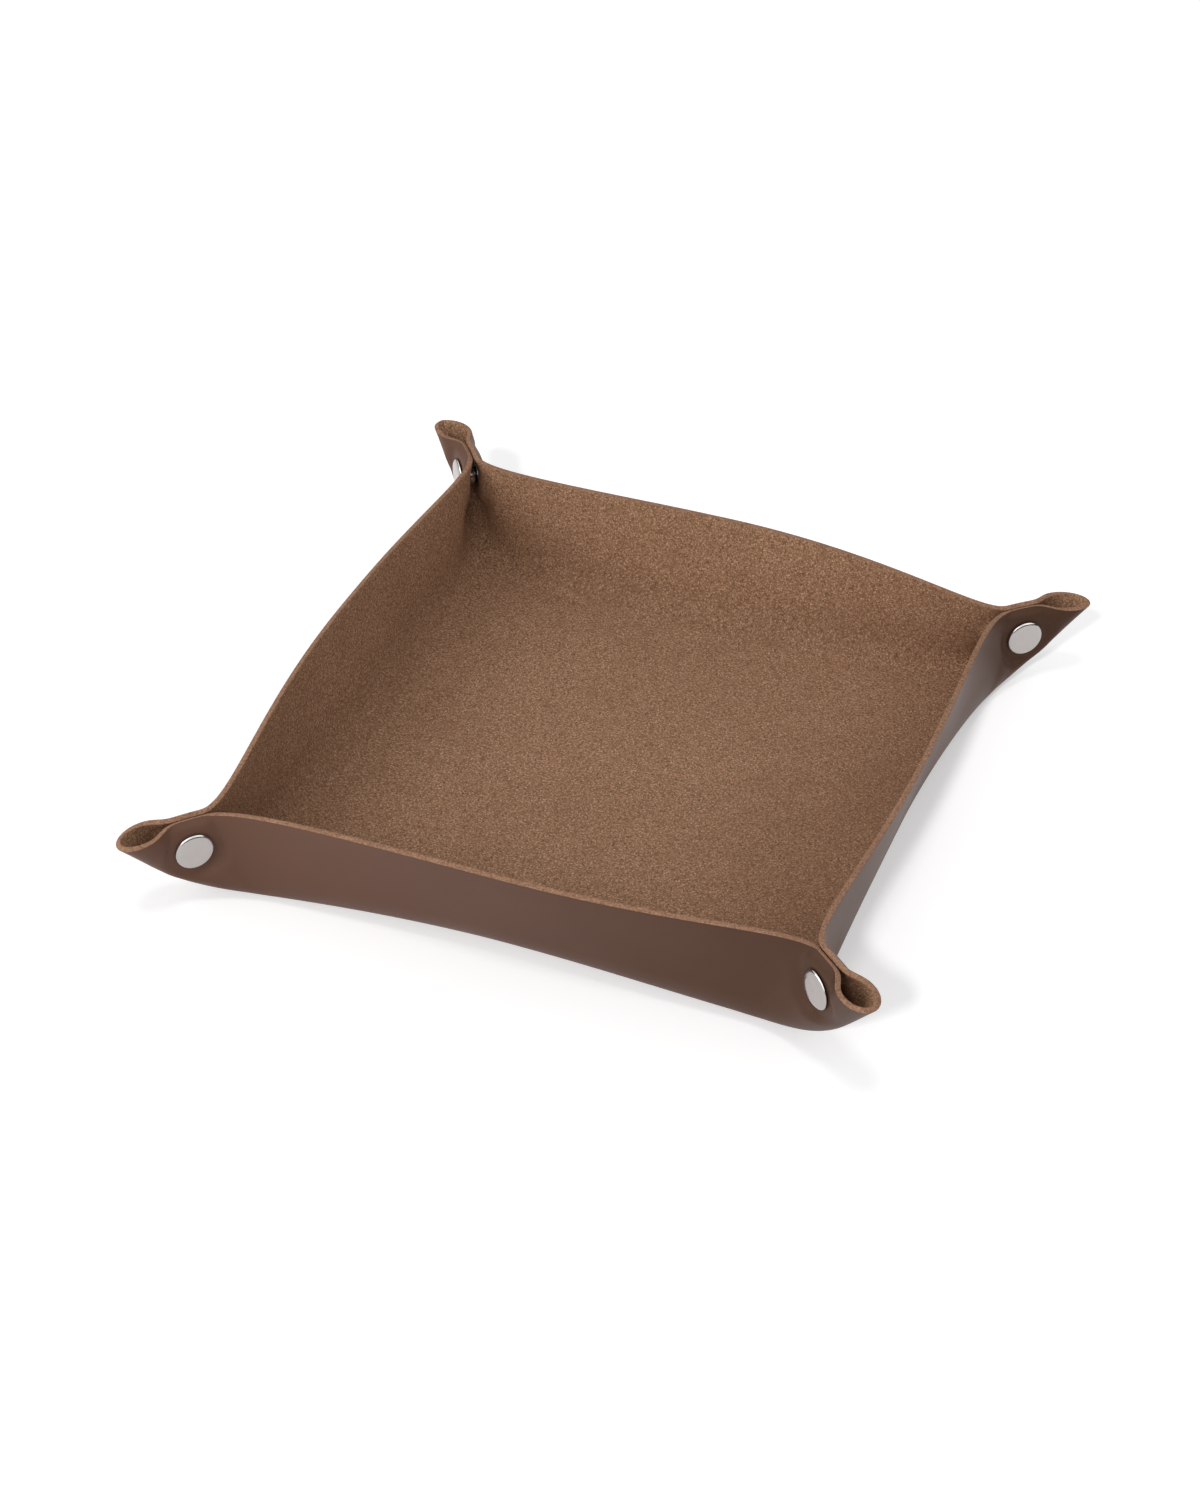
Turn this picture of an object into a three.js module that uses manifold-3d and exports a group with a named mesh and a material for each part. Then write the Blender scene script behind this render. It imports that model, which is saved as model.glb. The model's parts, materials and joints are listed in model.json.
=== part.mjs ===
// Leather tray: one square sheet of leather, held in shape by a press stud in each pinched corner.
// Millimetres, +Z up, X to the right, Y to the back. The origin is the middle of the underside.
import * as THREE from 'three';
import { mergeVertices } from 'three/addons/utils/BufferGeometryUtils.js';
import Module from 'manifold-3d';

// Leather sheet
const LEATHER = 1.7; // thickness
const PINCH_SPAN = 200; // along a wall, from one pinched corner to the next
const WALL_HEIGHT = 38.8; // rim above the table at the middle of a wall
const WALL_LEAN = 9; // how far that rim stands outside the foot of its wall
const WALL_SWEEP = 58; // how far a wall's rim keeps its line before it turns into the pinch
const FOOT_SWEEP = 44; // how far a wall's foot keeps its line before it turns to the corner
const FOOT_BEND = 12.5; // run of the bend from floor to wall, on either side of the foot
const FOOT_ROUND = 2; // roundness of the foot at the corner
const CORNER_LEAN = 0.4; // how far a pinch stands outside the foot of its corner
const CORNER_BEND = 16.5; // run of the bend from floor to corner, inside the foot
const CORNER_BEND_SHARE = 0.64; // share of a corner's height that its bend takes
const BEND_GROWTH = 4; // how late along the rim the bend grows to that share
const BEND_LIMIT = 0.6; // largest share of a wall that its bend takes
const FLOOR_ROUND = 11.5; // roundness of the flat floor's corners
const DRAW_IN = 0.8; // how far a corner's foot moves in for each millimetre that the corner lifts
const PINCH_HEIGHT = 35; // rim above the table at a pinch
const PINCH_GAP = 0.6; // between the two layers at a pinch
const PINCH_SWEEP = 10.5; // how far the rim runs along the diagonal before the pinch
const PINCH_LENGTH = 7.5; // how far the two layers stay together
const LOOP_LENGTH = 19.5; // from the end of the pinch to the tip of the loop
const LOOP_WIDTH = 9.8; // across the loop, between the middles of its leather
const LOOP_NOSE = 7.3; // from the loop's widest place to its tip
const LOOP_DROP = 0.7; // how far the tip hangs below the pinch
const LOOP_ROUNDNESS = 0.55; // how full the loop's nose is
const EAR_FAN = 0.6; // run along the foot for each millimetre of rim, at the tip
const LEAN_RUN = 49; // how far before the pinch a corner begins to lean to one side

// Press stud, from cap to eyelet
const SNAP_OUT = 4.3; // snap axis beyond the pinch
const SNAP_DROP = 10; // snap axis below the rim at the pinch
const SNAP_GAP = 4.2; // between the two layers at the snap
const PAD_MARGIN = 2.2; // flat leather round the edge of a cap
const PAD_FADE = 3; // width over which the flat pad runs out
const RIM_CLOSING = 3.5; // depth below the rim over which the two layers close again
const CAP_DIAMETER = 12.5;
const CAP_HEIGHT = 1.3;
const CAP_ROUND = 0.58; // radius of the cap's rim
const CAP_FACE = 80; // angle of the rim, in degrees, at which it meets the face
const POST_DIAMETER = 3.4;
const POST_WALL = 0.5;
const ROLL = 0.25; // thickness of a tube's rolled end
const ROLL_OVERHANG = 0.45; // how far a rolled end reaches past its tube
const SOCKET_DIAMETER = 10.4;
const SOCKET_PLATE = 0.4;
const SOCKET_LIP = 0.3;
const SPRING_WIRE = 0.4;
const SPRING_GRIP = 0.15; // how far the spring reaches in under the bulb
const SPRING_LIFT = 0.075; // between the spring and the socket's lip
const STUD_DIAMETER = 9.6;
const STUD_PLATE = 0.6;
const BULB_DIAMETER = 5.8;
const BULB_WALL = 0.8;
const BULB_EASE = 0.24; // how far the bulb draws in at its top
const BULB_LEVEL = 0.75; // height of the bulb's widest place, as a share of the stud above its plate
const NECK_DIAMETER = 4.9;
const NECK_LEVEL = 0.4; // height of the neck, as a share of the stud above its plate
const EYELET_DIAMETER = 9.6;
const EYELET_HEIGHT = 0.7;
const EYELET_RIM = 0.28; // height of the eyelet's upright edge
const EYELET_FACE = 7.7; // diameter of its flat back
const TUBE_DIAMETER = 2.8;
const TUBE_WALL = 0.4;
const CLEARANCE = 0.3; // between neighbouring pieces
const BULB_CLEARANCE = 0.15; // between the bulb and the socket's lip

// Corners, counter-clockwise: direction, how far the leather's spring lifts the corner, draws its pinch in,
// leans the pinch to one side and swings the tip beyond that, and which of the two layers carries the cap
const CORNERS = [
  { name: 'front_right', angle: -45, rise: 5.1, drawn: 3.7, lean: 2.2, swing: -1.5, capSide: -1 },
  { name: 'back_right', angle: 45, rise: -6.6, drawn: 0.6, lean: -0.1, swing: -4.3, capSide: -1 },
  { name: 'back_left', angle: 135, rise: 4.5, drawn: 0.4, lean: -4.5, swing: 7.5, capSide: 1 },
  { name: 'front_left', angle: 225, rise: -4.5, drawn: 2.7, lean: -0.4, swing: 4.4, capSide: 1 },
];

// Facets
const WALL_COLUMNS = 3;
const EAR_COLUMNS = 14;
const LOWER_ROWS = 5;
const UPPER_ROWS = 8;
const UPPER_DEPTH = 20; // how far below the rim the closely spaced rows reach
const ROUND_SEGMENTS = 16;
const ARC_STEPS = 3;
const WIRE_SIDES = 5;
const SAME_POINT = 1e-4; // points closer than this are one

// Places that follow from the sizes
const RIM_HALF = PINCH_SPAN / 2;
const FOOT_HALF = RIM_HALF - WALL_LEAN;
const PINCH_REACH = RIM_HALF * Math.SQRT2;
const EAR_LENGTH = PINCH_LENGTH + LOOP_LENGTH;
const FLOOR_MIDDLE = LEATHER / 2;
const LAYER_MIDDLE = (SNAP_GAP + LEATHER) / 2;
const INNER_FACE = SNAP_GAP / 2;
const OUTER_FACE = INNER_FACE + LEATHER;
const HOLE_DIAMETER = Math.max(POST_DIAMETER, TUBE_DIAMETER) + 2 * CLEARANCE;
const DIAGONAL = Math.SQRT1_2;
const OUTWARD = new THREE.Vector3(1, 0, 0);
const ALONG_WALL = new THREE.Vector3(DIAGONAL, -DIAGONAL, 0);

const leatherMaterial = new THREE.MeshStandardMaterial({ color: 0x70543f, roughness: 0.85, metalness: 0 });
const nickelMaterial = new THREE.MeshStandardMaterial({ color: 0xb9b4b0, roughness: 0.25, metalness: 1 });

// A closed body: shared vertices merged, flat triangles dropped, faces pointing out
function closedBody(geometry) {
  geometry.deleteAttribute('normal');
  geometry.deleteAttribute('uv');
  const merged = mergeVertices(geometry, SAME_POINT);
  const place = (i) => new THREE.Vector3().fromBufferAttribute(merged.attributes.position, i);
  const source = merged.index.array;
  let triangles = [];
  let volume = 0;
  for (let i = 0; i < source.length; i += 3) {
    const [a, b, c] = [source[i], source[i + 1], source[i + 2]];
    if (a !== b && b !== c && c !== a) {
      triangles.push(a, b, c);
      volume += place(a).dot(place(b).cross(place(c)));
    }
  }
  if (volume < 0) {
    triangles = triangles.reverse();
  }
  merged.setIndex(triangles);
  merged.computeVertexNormals();
  return merged;
}

// Body turned round the snap axis from a closed outline of [radius, height along the axis] points
function turned(outline) {
  const points = [...outline, outline[0]].map(([radius, height]) => new THREE.Vector2(radius, height));
  return closedBody(new THREE.LatheGeometry(points, ROUND_SEGMENTS));
}

// Points of an arc in an outline, angles in degrees from the radius direction towards +height
function arc(radius, centreRadius, centreHeight, from, to) {
  const points = [];
  for (let i = 0; i <= ARC_STEPS; i += 1) {
    const angle = THREE.MathUtils.degToRad(from + ((to - from) * i) / ARC_STEPS);
    points.push([centreRadius + radius * Math.cos(angle), centreHeight + radius * Math.sin(angle)]);
  }
  return points;
}

// From the middle of the tray to where a corner's pinch begins
function pinchReach(corner) {
  return PINCH_REACH - corner.drawn;
}

// Half of a corner's rim in the corner's frame: x along the diagonal, y across it, z up.
// It runs from the middle of a wall to the pinch, along it, and round the loop to its tip.
function halfRim(corner) {
  const middle = new THREE.Vector3(RIM_HALF * DIAGONAL, RIM_HALF * DIAGONAL, WALL_HEIGHT);
  const pinch = new THREE.Vector3(pinchReach(corner), (PINCH_GAP + LEATHER) / 2, PINCH_HEIGHT + corner.rise);
  const pinchEnd = pinch.clone().addScaledVector(OUTWARD, PINCH_LENGTH);
  const tip = new THREE.Vector3(pinchEnd.x + LOOP_LENGTH, 0, pinch.z - LOOP_DROP);
  const widest = new THREE.Vector3(tip.x - LOOP_NOSE, LOOP_WIDTH / 2, tip.z);
  const neck = (widest.x - pinchEnd.x) / 2;
  const path = new THREE.CurvePath();
  path.add(new THREE.CubicBezierCurve3(
    middle,
    middle.clone().addScaledVector(ALONG_WALL, WALL_SWEEP),
    pinch.clone().addScaledVector(OUTWARD, -PINCH_SWEEP),
    pinch,
  ));
  path.add(new THREE.LineCurve3(pinch, pinchEnd));
  path.add(new THREE.CubicBezierCurve3(
    pinchEnd,
    pinchEnd.clone().addScaledVector(OUTWARD, neck),
    widest.clone().addScaledVector(OUTWARD, -neck),
    widest,
  ));
  path.add(new THREE.CubicBezierCurve3(
    widest,
    widest.clone().addScaledVector(OUTWARD, LOOP_NOSE * LOOP_ROUNDNESS),
    new THREE.Vector3(tip.x, widest.y * LOOP_ROUNDNESS, tip.z),
    tip,
  ));
  return path;
}

// Half of an outline on the floor, from the middle of a wall to the corner's diagonal
function halfOutline(half, reach, round) {
  const middle = new THREE.Vector3(half * DIAGONAL, half * DIAGONAL, FLOOR_MIDDLE);
  return new THREE.CubicBezierCurve3(
    middle,
    middle.clone().addScaledVector(ALONG_WALL, FOOT_SWEEP),
    new THREE.Vector3(reach, round, FLOOR_MIDDLE),
    new THREE.Vector3(reach, 0, FLOOR_MIDDLE),
  );
}

// Curves that a corner's ribs follow: the rim, the foot of the wall and the edge of the flat floor
function cornerCurves(corner) {
  const reach = pinchReach(corner) - CORNER_LEAN - DRAW_IN * corner.rise;
  return {
    rim: halfRim(corner),
    foot: halfOutline(FOOT_HALF, reach, FOOT_ROUND),
    floor: halfOutline(FOOT_HALF - FOOT_BEND, reach - CORNER_BEND, FLOOR_ROUND),
  };
}

// Share of the foot that a share of the rim comes down to: square to the wall at its middle,
// fanned out from the floor's corner at the tip
function footShare(share, rimLength, footLength) {
  const rest = 1 - share;
  const startSlope = rimLength * share * rest * rest;
  const endSlope = EAR_FAN * rimLength * share * share * rest;
  return share * share * (3 - 2 * share) + (startSlope - endSlope) / footLength;
}

// How far a corner stands to one side at a reach from the middle of the tray
function sidewaysAt(corner, reach) {
  const leaning = Math.max(0, reach - pinchReach(corner) + LEAN_RUN) / LEAN_RUN;
  const swinging = Math.max(0, reach - pinchReach(corner)) / EAR_LENGTH;
  return corner.lean * leaning ** 2 + corner.swing * swinging ** 2;
}

// Slope of a corner to one side at its snap
function snapSlope(corner) {
  const leaning = (SNAP_OUT + LEAN_RUN) / LEAN_RUN;
  const swinging = SNAP_OUT / EAR_LENGTH;
  return (2 * corner.lean * leaning) / LEAN_RUN + (2 * corner.swing * swinging) / EAR_LENGTH;
}

// Shares of a line from the floor to the rim at which the rows stand: close together below the rim
function rowShares(length) {
  const upperStart = 1 - UPPER_DEPTH / length;
  const shares = [];
  for (let i = 0; i < LOWER_ROWS; i += 1) {
    shares.push((upperStart * i) / LOWER_ROWS);
  }
  for (let i = 0; i <= UPPER_ROWS; i += 1) {
    shares.push(upperStart + ((1 - upperStart) * i) / UPPER_ROWS);
  }
  return shares;
}

// Middle of the leather on one line from the floor up to the rim, in the corner's frame.
// Round the snap the leather is pressed flat; at the rim it keeps to the pinch.
function rib(curves, share, snap) {
  const onFoot = footShare(share, curves.rim.getLength(), curves.foot.getLength());
  const rim = curves.rim.getPoint(share);
  const foot = curves.foot.getPointAt(onFoot);
  const bendStart = curves.floor.getPointAt(onFoot);
  const wall = rim.clone().sub(foot);
  const wallShare = Math.min(FOOT_BEND / wall.length(), BEND_LIMIT);
  const bendShare = THREE.MathUtils.lerp(wallShare, CORNER_BEND_SHARE, share ** BEND_GROWTH);
  const bendEnd = foot.clone().addScaledVector(wall, bendShare);
  const line = new THREE.CurvePath();
  line.add(new THREE.QuadraticBezierCurve3(bendStart, foot, bendEnd));
  line.add(new THREE.LineCurve3(bendEnd, rim));
  const padRadius = CAP_DIAMETER / 2 + PAD_MARGIN;
  const onTip = share === 1;
  const length = line.getLength();
  return rowShares(length).map((onLine) => {
    const point = line.getPoint(onLine);
    const away = Math.hypot(point.x - snap.x, point.z - snap.z);
    const outsidePad = THREE.MathUtils.smoothstep(away, padRadius, padRadius + PAD_FADE);
    const atRim = 1 - THREE.MathUtils.smoothstep((1 - onLine) * length, 0, RIM_CLOSING);
    const loose = Math.max(outsidePad, atRim);
    point.y = onTip ? 0 : THREE.MathUtils.lerp(LAYER_MIDDLE, point.y, loose);
    return point;
  });
}

// Where a corner's snap axis crosses the middle between the layers, in the corner's frame
function snapPlace(corner) {
  const reach = pinchReach(corner) + SNAP_OUT;
  return new THREE.Vector3(reach, sidewaysAt(corner, reach), PINCH_HEIGHT + corner.rise - SNAP_DROP);
}

// Shares of the half rim at which the ribs stand: wide apart on the wall, close together at the ear
function ribShares(rimLength) {
  const earStart = 1 - (EAR_LENGTH + PINCH_SWEEP) / rimLength;
  const shares = [];
  for (let i = 0; i < WALL_COLUMNS; i += 1) {
    shares.push((earStart * i) / WALL_COLUMNS);
  }
  for (let i = 0; i <= EAR_COLUMNS; i += 1) {
    shares.push(earStart + ((1 - earStart) * i) / EAR_COLUMNS);
  }
  return shares;
}

// All ribs in order round the tray, in the tray's frame
function allRibs() {
  const ribs = [];
  for (const corner of CORNERS) {
    const curves = cornerCurves(corner);
    const snap = snapPlace(corner);
    const half = ribShares(curves.rim.getLength()).map((share) => rib(curves, share, snap));
    const turn = new THREE.Matrix4().makeRotationZ(THREE.MathUtils.degToRad(corner.angle));
    const onSide = (points, side) => points.map((point) => {
      const across = side * point.y + sidewaysAt(corner, point.x);
      return new THREE.Vector3(point.x, across, point.z).applyMatrix4(turn);
    });
    ribs.push(...half.map((points) => onSide(points, -1)));
    ribs.push(...half.slice(1, -1).reverse().map((points) => onSide(points, 1)));
  }
  return ribs;
}

// Triangles of the middle surface: a fan over the floor, then the grid up the walls
function sheetTriangles(columns, rows) {
  const vertex = (column, row) => 1 + (column % columns) * rows + row;
  const triangles = [];
  for (let column = 0; column < columns; column += 1) {
    triangles.push(0, vertex(column, 0), vertex(column + 1, 0));
    for (let row = 0; row < rows - 1; row += 1) {
      const [a, b] = [vertex(column, row), vertex(column + 1, row)];
      const [c, d] = [vertex(column, row + 1), vertex(column + 1, row + 1)];
      triangles.push(a, c, d, a, d, b);
    }
  }
  return triangles;
}

// The sheet: its middle surface given thickness both ways, closed by the cut edge along the rim
function sheetBody() {
  const ribs = allRibs();
  const rows = ribs[0].length;
  const middle = [new THREE.Vector3(0, 0, FLOOR_MIDDLE), ...ribs.flat()];
  const triangles = sheetTriangles(ribs.length, rows);
  const surface = new THREE.BufferGeometry().setFromPoints(middle);
  surface.setIndex(triangles);
  surface.computeVertexNormals();
  const normal = (i) => new THREE.Vector3().fromBufferAttribute(surface.attributes.normal, i);
  const inside = middle.map((point, i) => point.clone().addScaledVector(normal(i), LEATHER / 2));
  const outside = middle.map((point, i) => point.clone().addScaledVector(normal(i), -LEATHER / 2));
  const count = middle.length;
  const faces = [...triangles, ...triangles.map((vertex) => vertex + count).reverse()];
  for (let column = 0; column < ribs.length; column += 1) {
    const here = 1 + column * rows + rows - 1;
    const next = 1 + ((column + 1) % ribs.length) * rows + rows - 1;
    faces.push(here, here + count, next + count, here, next + count, next);
  }
  const body = new THREE.BufferGeometry().setFromPoints([...inside, ...outside]);
  body.setIndex(faces);
  return closedBody(body);
}

const wasm = await Module();
wasm.setup();

function toManifold(geometry) {
  return new wasm.Manifold(new wasm.Mesh({
    numProp: 3,
    vertProperties: new Float32Array(geometry.attributes.position.array),
    triVerts: new Uint32Array(geometry.index.array),
  }));
}

function fromManifold(solid) {
  const { vertProperties, triVerts } = solid.getMesh();
  const geometry = new THREE.BufferGeometry();
  geometry.setAttribute('position', new THREE.BufferAttribute(vertProperties, 3));
  geometry.setIndex(new THREE.BufferAttribute(triVerts, 1));
  geometry.computeVertexNormals();
  return geometry;
}

// Turns a body made along +Y onto a corner's snap axis, pointing from the stud to the cap
function snapMatrix(corner) {
  const turn = new THREE.Matrix4().makeRotationZ(THREE.MathUtils.degToRad(corner.angle));
  const place = snapPlace(corner);
  const facing = Math.atan(snapSlope(corner)) + (corner.capSide > 0 ? 0 : Math.PI);
  const onAxis = new THREE.Matrix4().makeRotationZ(facing).setPosition(place);
  return turn.multiply(onAxis);
}

function leatherSheet() {
  let solid = toManifold(sheetBody());
  for (const corner of CORNERS) {
    const length = 2 * OUTER_FACE + LEATHER;
    const punch = new THREE.CylinderGeometry(HOLE_DIAMETER / 2, HOLE_DIAMETER / 2, length, ROUND_SEGMENTS);
    solid = solid.subtract(toManifold(closedBody(punch.applyMatrix4(snapMatrix(corner)))));
  }
  return fromManifold(solid);
}

// Levels along the snap axis, from the middle between the layers towards the cap
const CAP_SEAT = OUTER_FACE + CLEARANCE;
const SOCKET_TOP = INNER_FACE - CLEARANCE;
const SOCKET_CEILING = SOCKET_TOP - SOCKET_PLATE;
const POST_END = SOCKET_CEILING - CLEARANCE - ROLL;
const STUD_SEAT = -(INNER_FACE - CLEARANCE);
const STUD_TOP = STUD_SEAT + STUD_PLATE;
const BULB_TOP = POST_END - CLEARANCE;
const SOCKET_BOTTOM = STUD_TOP + CLEARANCE;
const EYELET_SEAT = -CAP_SEAT;
const TUBE_END = STUD_TOP + CLEARANCE + ROLL;
const LIP_RADIUS = BULB_DIAMETER / 2 + BULB_CLEARANCE;
const SPRING_RADIUS = BULB_DIAMETER / 2 - SPRING_GRIP + SPRING_WIRE / 2;
const CAVITY_RADIUS = SPRING_RADIUS + SPRING_WIRE / 2 + CLEARANCE;

// Cap: a flat dome with a round rim, on a hollow post whose end is rolled out inside the socket
function capBody() {
  const radius = CAP_DIAMETER / 2;
  const post = POST_DIAMETER / 2;
  const bore = post - POST_WALL;
  const top = CAP_SEAT + CAP_HEIGHT;
  return turned([
    [0, top],
    ...arc(CAP_ROUND, radius - CAP_ROUND, CAP_SEAT + CAP_ROUND, CAP_FACE, -90),
    [post, CAP_SEAT],
    [post, POST_END + ROLL],
    [post + ROLL_OVERHANG, POST_END + ROLL],
    [post + ROLL_OVERHANG, POST_END],
    [bore, POST_END],
    [bore, CAP_SEAT],
    [0, CAP_SEAT],
  ]);
}

// Socket: a stepped cup, open towards the stud, with a lip that keeps the spring in
function socketBody() {
  const flange = SOCKET_DIAMETER / 2;
  const hole = POST_DIAMETER / 2 + CLEARANCE;
  const cup = CAVITY_RADIUS + SOCKET_PLATE;
  return turned([
    [hole, SOCKET_TOP],
    [flange, SOCKET_TOP],
    [flange, SOCKET_CEILING],
    [cup, SOCKET_CEILING - SOCKET_PLATE],
    [cup, SOCKET_BOTTOM + SOCKET_LIP],
    [cup - SOCKET_LIP, SOCKET_BOTTOM],
    [LIP_RADIUS, SOCKET_BOTTOM],
    [LIP_RADIUS, SOCKET_BOTTOM + SOCKET_LIP],
    [CAVITY_RADIUS, SOCKET_BOTTOM + SOCKET_LIP],
    [CAVITY_RADIUS, SOCKET_CEILING],
    [hole, SOCKET_CEILING],
  ]);
}

// Spring: a wire ring that lies on the socket's lip and grips the bulb below its widest place
function springBody() {
  const level = SOCKET_BOTTOM + SOCKET_LIP + SPRING_LIFT + SPRING_WIRE / 2;
  const ring = new THREE.TorusGeometry(SPRING_RADIUS, SPRING_WIRE / 2, WIRE_SIDES, ROUND_SEGMENTS);
  return closedBody(ring.rotateX(Math.PI / 2).translate(0, level, 0));
}

// Stud: a flange with a hollow neck that swells into a bulb
function studBody() {
  const bulb = BULB_DIAMETER / 2;
  const neck = NECK_DIAMETER / 2;
  const bore = bulb - BULB_WALL;
  const hole = TUBE_DIAMETER / 2 + CLEARANCE;
  const height = BULB_TOP - STUD_TOP;
  return turned([
    [hole, STUD_SEAT],
    [STUD_DIAMETER / 2, STUD_SEAT],
    [STUD_DIAMETER / 2, STUD_SEAT + STUD_PLATE / 2],
    [neck + STUD_PLATE, STUD_TOP],
    [neck, STUD_TOP],
    [neck, STUD_TOP + height * NECK_LEVEL],
    [bulb, STUD_TOP + height * BULB_LEVEL],
    [bulb - BULB_EASE, BULB_TOP],
    [bore, BULB_TOP],
    [bore, STUD_TOP],
    [hole, STUD_TOP],
  ]);
}

// Eyelet: a low dome outside the leather, on a tube whose end is rolled out inside the stud
function eyeletBody() {
  const flange = EYELET_DIAMETER / 2;
  const tube = TUBE_DIAMETER / 2;
  const bore = tube - TUBE_WALL;
  const roll = Math.min(tube + ROLL_OVERHANG, BULB_DIAMETER / 2 - BULB_WALL - CLEARANCE);
  const back = EYELET_SEAT - EYELET_HEIGHT;
  return turned([
    [bore, TUBE_END],
    [roll, TUBE_END],
    [roll, TUBE_END - ROLL],
    [tube, TUBE_END - ROLL],
    [tube, EYELET_SEAT],
    [flange, EYELET_SEAT],
    [flange, EYELET_SEAT - EYELET_RIM],
    [EYELET_FACE / 2, back],
    [tube, back],
    [bore, EYELET_SEAT],
  ]);
}

const SNAP_PIECES = {
  cap: capBody,
  socket: socketBody,
  spring: springBody,
  stud: studBody,
  eyelet: eyeletBody,
};

const tray = new THREE.Group();

const sheet = new THREE.Mesh(leatherSheet(), leatherMaterial);
sheet.name = 'leather_sheet';
tray.add(sheet);

for (const corner of CORNERS) {
  const snap = new THREE.Group();
  snap.applyMatrix4(snapMatrix(corner));
  for (const [piece, makeBody] of Object.entries(SNAP_PIECES)) {
    const mesh = new THREE.Mesh(makeBody(), nickelMaterial);
    mesh.name = `${corner.name}_${piece}`;
    snap.add(mesh);
  }
  tray.add(snap);
}

export default tray;
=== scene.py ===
"""Leather tray: one square sheet, suede inside and smooth outside, held up by a press stud in each corner."""
import json
import math

import bpy
import numpy as np
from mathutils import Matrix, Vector


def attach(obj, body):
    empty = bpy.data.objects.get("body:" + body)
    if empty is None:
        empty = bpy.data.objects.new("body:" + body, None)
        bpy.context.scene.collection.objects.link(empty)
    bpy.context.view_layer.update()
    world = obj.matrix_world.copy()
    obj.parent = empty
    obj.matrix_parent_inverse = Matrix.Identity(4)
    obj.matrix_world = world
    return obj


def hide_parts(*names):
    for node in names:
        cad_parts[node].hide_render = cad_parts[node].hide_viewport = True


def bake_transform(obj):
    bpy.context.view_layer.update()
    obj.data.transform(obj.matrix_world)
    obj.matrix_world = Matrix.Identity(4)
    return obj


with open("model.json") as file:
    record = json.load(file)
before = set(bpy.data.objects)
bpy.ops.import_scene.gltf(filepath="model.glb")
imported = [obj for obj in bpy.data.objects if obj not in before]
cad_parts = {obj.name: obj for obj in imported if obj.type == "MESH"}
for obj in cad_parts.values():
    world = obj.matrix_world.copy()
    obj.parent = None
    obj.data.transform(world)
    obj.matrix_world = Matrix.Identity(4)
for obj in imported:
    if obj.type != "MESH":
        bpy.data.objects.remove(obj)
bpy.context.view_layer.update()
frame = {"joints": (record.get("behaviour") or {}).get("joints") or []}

MM = 0.001
DIAGONAL = math.sqrt(0.5)  # how far a step of one along the diagonal goes along each wall
WELD = 0.001 * MM  # points closer than this are joined

# Leather sheet, in millimetres
SHEET = {
    "thickness": 1.7,
    "pinch span": 200.0,  # along a wall, from one pinched corner to the next
    "wall height": 38.8,  # rim above the table at the middle of a wall
    "wall lean": 9.0,  # how far that rim stands outside the foot of its wall
    "wall sweep": 58.0,  # how far a wall's rim keeps its line before it turns into the pinch
    "foot sweep": 44.0,  # how far a wall's foot keeps its line before it turns to the corner
    "foot bend": 12.5,  # run of the bend from floor to wall, on either side of the foot
    "foot round": 2.0,  # roundness of the foot at the corner
    "corner lean": 0.4,  # how far a pinch stands outside the foot of its corner
    "corner bend": 16.5,  # run of the bend from floor to corner, inside the foot
    "floor round": 11.5,  # roundness of the flat floor's corners
    "pinch height": 35.0,  # rim above the table at a pinch
    "pinch gap": 0.2,  # between the two layers at a pinch
    "pinch sweep": 10.5,  # how far the rim runs along the diagonal before the pinch
    "pinch length": 7.5,  # how far the two layers stay together
    "loop length": 19.5,  # from the end of the pinch to the tip of the loop
    "loop width": 9.8,  # across the loop, between the middles of its leather
    "loop nose": 7.3,  # from the loop's widest place to its tip
    "loop drop": 0.7,  # how far the tip hangs below the pinch
    "lean run": 49.0,  # how far before the pinch a corner begins to lean to one side
    "snap out": 4.3,  # snap axis beyond the pinch
    "snap drop": 10.0,  # snap axis below the rim at the pinch
    "snap gap": 4.2,  # between the two layers at the snap
    "pad margin": 2.2,  # flat leather round the edge of a cap
    "pad fade": 3.0,  # width over which the flat pad runs out
    "rim closing": 3.5,  # depth below the rim over which the two layers close again
    "edge swell": 0.25,  # how far the cut edge swells past the rim
}
DRAW_IN = 0.8  # how far a corner's foot moves in for each millimetre that the corner lifts
EAR_FAN = 0.6  # run along the foot for each millimetre of rim, at the tip
CORNER_BEND_SHARE = 0.64  # share of a corner's height that its bend takes
BEND_GROWTH = 4  # how late along the rim the bend grows to that share
BEND_LIMIT = 0.6  # largest share of a wall that its bend takes
LOOP_ROUNDNESS = 0.55  # how full the loop's nose is
EDGE_SQUARENESS = 0.42  # 1 for a round cut edge, less for a squarer one
PAD_OPENING = 4  # how fast the layers part from the tip's crease towards the pad

# How the layer under a cap follows when its snap is pulled open, in millimetres
PULL_WALL_START = 76.0  # from the middle of the tray, where the wall begins to give
PULL_FOOT = 2.0  # height at which the wall begins to give
PULL_PAD = 8.0  # half width round the snap that moves as one
PULL_TIP_BEFORE = 6.0  # run round the loop's tip over which the pull dies away
PULL_TIP_AFTER = 5.0

# Mesh of a quarter of the sheet
SIDE_COLUMNS = 110
FLOOR_ROWS = 18
BEND_ROWS = 26
WALL_ROWS = 22
EDGE_ROWS = 5
CURVE_STEPS = 96
SHARP_ANGLE = math.radians(70)  # edges that bend more stay crisp

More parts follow.
